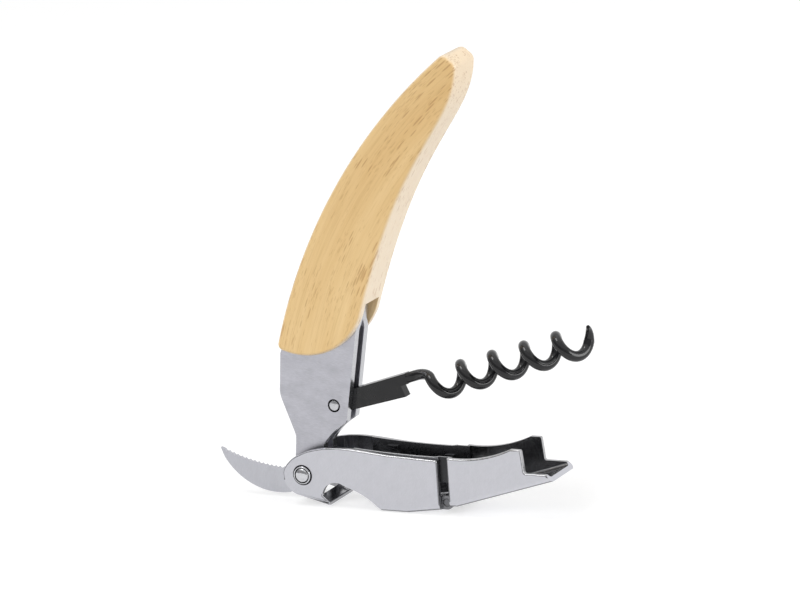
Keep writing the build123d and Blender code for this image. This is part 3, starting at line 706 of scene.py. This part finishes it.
def serration_tree():
    """Geometry nodes that cut a row of scallops into a blade along an arc through three points."""
    tree = bpy.data.node_groups.new("serrated_edge", "GeometryNodeTree")
    inputs = (
        ("Blade", "NodeSocketGeometry"), ("Start", "NodeSocketVector"), ("Middle", "NodeSocketVector"),
        ("End", "NodeSocketVector"), ("Teeth", "NodeSocketInt"), ("Scallop Radius", "NodeSocketFloat"),
        ("Cutter Length", "NodeSocketFloat"), ("Finish", "NodeSocketMaterial"),
    )
    for name, kind in inputs:
        tree.interface.new_socket(name, in_out="INPUT", socket_type=kind)
    tree.interface.new_socket("Serrated", in_out="OUTPUT", socket_type="NodeSocketGeometry")
    given = tree.nodes.new("NodeGroupInput").outputs
    result = tree.nodes.new("NodeGroupOutput")
    arc = tree.nodes.new("GeometryNodeCurveArc")
    arc.mode = "POINTS"
    spaced = tree.nodes.new("GeometryNodeCurveToPoints")
    spaced.mode = "COUNT"
    cutter = tree.nodes.new("GeometryNodeMeshCylinder")
    cutter.inputs["Vertices"].default_value = CUTTER_SIDES
    upright = tree.nodes.new("GeometryNodeInstanceOnPoints")
    upright.inputs["Rotation"].default_value = (pi / 2, 0.0, 0.0)
    made = tree.nodes.new("GeometryNodeRealizeInstances")
    cut = tree.nodes.new("GeometryNodeMeshBoolean")
    cut.operation = "DIFFERENCE"
    cut.solver = "EXACT"
    finish = tree.nodes.new("GeometryNodeSetMaterial")
    wires = (
        (given["Start"], arc.inputs["Start"]),
        (given["Middle"], arc.inputs["Middle"]),
        (given["End"], arc.inputs["End"]),
        (arc.outputs["Curve"], spaced.inputs["Curve"]),
        (given["Teeth"], spaced.inputs["Count"]),
        (given["Scallop Radius"], cutter.inputs["Radius"]),
        (given["Cutter Length"], cutter.inputs["Depth"]),
        (spaced.outputs["Points"], upright.inputs["Points"]),
        (cutter.outputs["Mesh"], upright.inputs["Instance"]),
        (upright.outputs["Instances"], made.inputs["Geometry"]),
        (given["Blade"], cut.inputs["Mesh 1"]),
        (made.outputs["Geometry"], cut.inputs["Mesh 2"]),
        (cut.outputs["Mesh"], finish.inputs["Geometry"]),
        (given["Finish"], finish.inputs["Material"]),
        (finish.outputs["Geometry"], result.inputs["Serrated"]),
    )
    for source, target in wires:
        link(tree, source, target)
    return tree


def serrated_knife():
    """Knife piece: the solid's blade with a row of scallops along its hollow edge."""
    mesh = smoothed(merged_copy("foil_knife"), "foil_knife_blank", [BLADE_STEEL])
    blank = bpy.data.objects.new("foil_knife_blank", mesh)
    bpy.context.scene.collection.objects.link(blank)
    tree = serration_tree()
    row = blank.modifiers.new("serration", "NODES")
    row.node_group = tree
    start, middle, end = (
        (EDGE_CENTRE - Vector((sin(angle), 0.0, cos(angle))) * EDGE_RADIUS) * MM for angle in EDGE_ANGLES
    )
    values = {
        "Start": start, "Middle": middle, "End": end, "Teeth": TEETH, "Scallop Radius": SCALLOP * MM,
        "Cutter Length": CUTTER_LENGTH * MM, "Finish": BLADE_STEEL,
    }
    for socket in tree.interface.items_tree:
        if socket.name in values:
            row[socket.identifier] = values[socket.name]
    bpy.context.view_layer.update()
    evaluated = blank.evaluated_get(bpy.context.evaluated_depsgraph_get())
    cut_mesh = bpy.data.meshes.new_from_object(evaluated)
    bpy.data.objects.remove(blank)
    shape = bmesh.new()
    shape.from_mesh(cut_mesh)
    placed("foil_knife", smoothed(shape, "foil_knife_cut", [BLADE_STEEL]))


serrated_knife()

# Studio, in metres: the level of the world's light, what bright metal mirrors above and behind the object
# as a range of directions and of levels, the paper floor, and each lamp's name, azimuth and elevation in
# degrees, size, power in watts and whether metal mirrors it
WORLD_LIGHT = 0.36
CEILING = (0.42, 0.66, 0.14, 0.95)
BEHIND = (-0.1, 0.3, 0.14, 1.0)
WHITE = (1.0, 1.0, 1.0, 1.0)
FLOOR_WHITE = 0.55
FLOOR_GLOW = 0.55
FLOOR_RADIUS = 6.0
LAMP_CENTRE = Vector((0.0, 0.0, 0.05))
LAMP_REACH = 2.0
LAMPS = (
    ("key_right", 98.0, 12.0, 1.6, 33.0, True),
    ("front_fill", -8.0, 26.0, 1.8, 24.0, False),
    ("left_strip", -55.0, 68.0, 0.8, 9.0, True),
    ("top", 180.0, 80.0, 1.8, 3.0, True),
)


def direction(azimuth, elevation):
    """Unit vector from the object towards a viewer or lamp, azimuth 0 being the front."""
    return Vector((sin(azimuth) * cos(elevation), -cos(azimuth) * cos(elevation), sin(elevation)))


def white_world():
    """World that is white to the camera, shaded in bright metal, and a plain soft light to all else."""
    world = bpy.data.worlds.new("studio")
    bpy.context.scene.world = world
    world.use_nodes = True
    tree = world.node_tree
    backdrop = tree.nodes["Background"]
    rays = node(tree, "ShaderNodeLightPath").outputs
    sky = parted(tree, node(tree, "ShaderNodeTexCoord").outputs["Generated"])
    behind = remap(tree, sky["Y"], *BEHIND)
    room = combined(tree, remap(tree, sky["Z"], *CEILING), behind, "MAXIMUM")
    plain = combined(tree, rays["Is Camera Ray"], rays["Is Transmission Ray"], "MAXIMUM")
    mirrored = combined(tree, rays["Is Glossy Ray"], room, "MULTIPLY")
    seen = combined(tree, plain, mirrored, "MAXIMUM")
    link(tree, combined(tree, seen, WORLD_LIGHT, "MAXIMUM"), backdrop.inputs["Strength"])
    backdrop.inputs["Color"].default_value = WHITE


def paper_floor():
    """White floor that keeps the object's soft shadow."""
    bpy.ops.mesh.primitive_circle_add(vertices=64, radius=FLOOR_RADIUS, fill_type="NGON")
    floor = bpy.context.object
    floor.name = "floor"
    paper, tree, shader = material("white_paper")
    shader.inputs["Base Color"].default_value = (FLOOR_WHITE, FLOOR_WHITE, FLOOR_WHITE, 1.0)
    shader.inputs["Roughness"].default_value = 1.0
    shader.inputs["Specular IOR Level"].default_value = 0.0
    shader.inputs["Emission Color"].default_value = WHITE
    rays = node(tree, "ShaderNodeLightPath").outputs
    seen = combined(tree, rays["Is Camera Ray"], rays["Is Glossy Ray"], "MAXIMUM")
    seen = combined(tree, seen, rays["Is Transmission Ray"], "MAXIMUM")
    link(tree, combined(tree, seen, FLOOR_GLOW, "MULTIPLY"), shader.inputs["Emission Strength"])
    floor.data.materials.append(paper)


def soft_lamps():
    """Round soft lamps that all aim at the object."""
    for name, azimuth, elevation, size, power, mirrored in LAMPS:
        lamp = bpy.data.lights.new(name, "AREA")
        lamp.shape = "DISK"
        lamp.size = size
        lamp.energy = power
        holder = bpy.data.objects.new(name, lamp)
        bpy.context.scene.collection.objects.link(holder)
        holder.visible_glossy = mirrored
        away = direction(radians(azimuth), radians(elevation))
        holder.location = LAMP_CENTRE + away * LAMP_REACH
        holder.rotation_euler = away.to_track_quat("Z", "Y").to_euler()


# Camera, read from the photograph's perspective, in millimetres and pixels
CAMERA_AZIMUTH = radians(27.5)
CAMERA_ELEVATION = radians(14.6)
CAMERA_ROLL = radians(4.2)
CAMERA_DISTANCE = 1500.0
CAMERA_LENS = 270.0
SENSOR_WIDTH = 36.0
IMAGE_WIDTH = 800
IMAGE_HEIGHT = 600
AIM_POINT = PIVOT + Vector((0.0, -LEVER_HALF, 0.0))
AIM_PIXEL = (302.5, 475.1)


def camera():
    """Camera at the photograph's viewing angle, placed so that the pivot falls on its pixel."""
    level = Vector((cos(CAMERA_AZIMUTH), sin(CAMERA_AZIMUTH), 0.0))
    back = direction(CAMERA_AZIMUTH, CAMERA_ELEVATION)
    upright = back.cross(level)
    side = cos(CAMERA_ROLL) * level - sin(CAMERA_ROLL) * upright
    top = sin(CAMERA_ROLL) * level + cos(CAMERA_ROLL) * upright
    pixel = CAMERA_DISTANCE * SENSOR_WIDTH / (CAMERA_LENS * IMAGE_WIDTH)
    offset = side * (AIM_PIXEL[0] - IMAGE_WIDTH / 2) + top * (IMAGE_HEIGHT / 2 - AIM_PIXEL[1])
    place = (AIM_POINT - offset * pixel + back * CAMERA_DISTANCE) * MM
    lens = bpy.data.cameras.new("photo_view")
    lens.lens = CAMERA_LENS
    lens.sensor_width = SENSOR_WIDTH
    lens.sensor_fit = "HORIZONTAL"
    lens.clip_start = 0.05
    lens.clip_end = 50.0
    holder = bpy.data.objects.new("photo_view", lens)
    bpy.context.scene.collection.objects.link(holder)
    turn = Matrix((side, top, back)).transposed().to_4x4()
    holder.matrix_world = Matrix.Translation(place) @ turn
    bpy.context.scene.camera = holder


bpy.context.scene.view_settings.view_transform = "Standard"
white_world()
paper_floor()
soft_lamps()
camera()
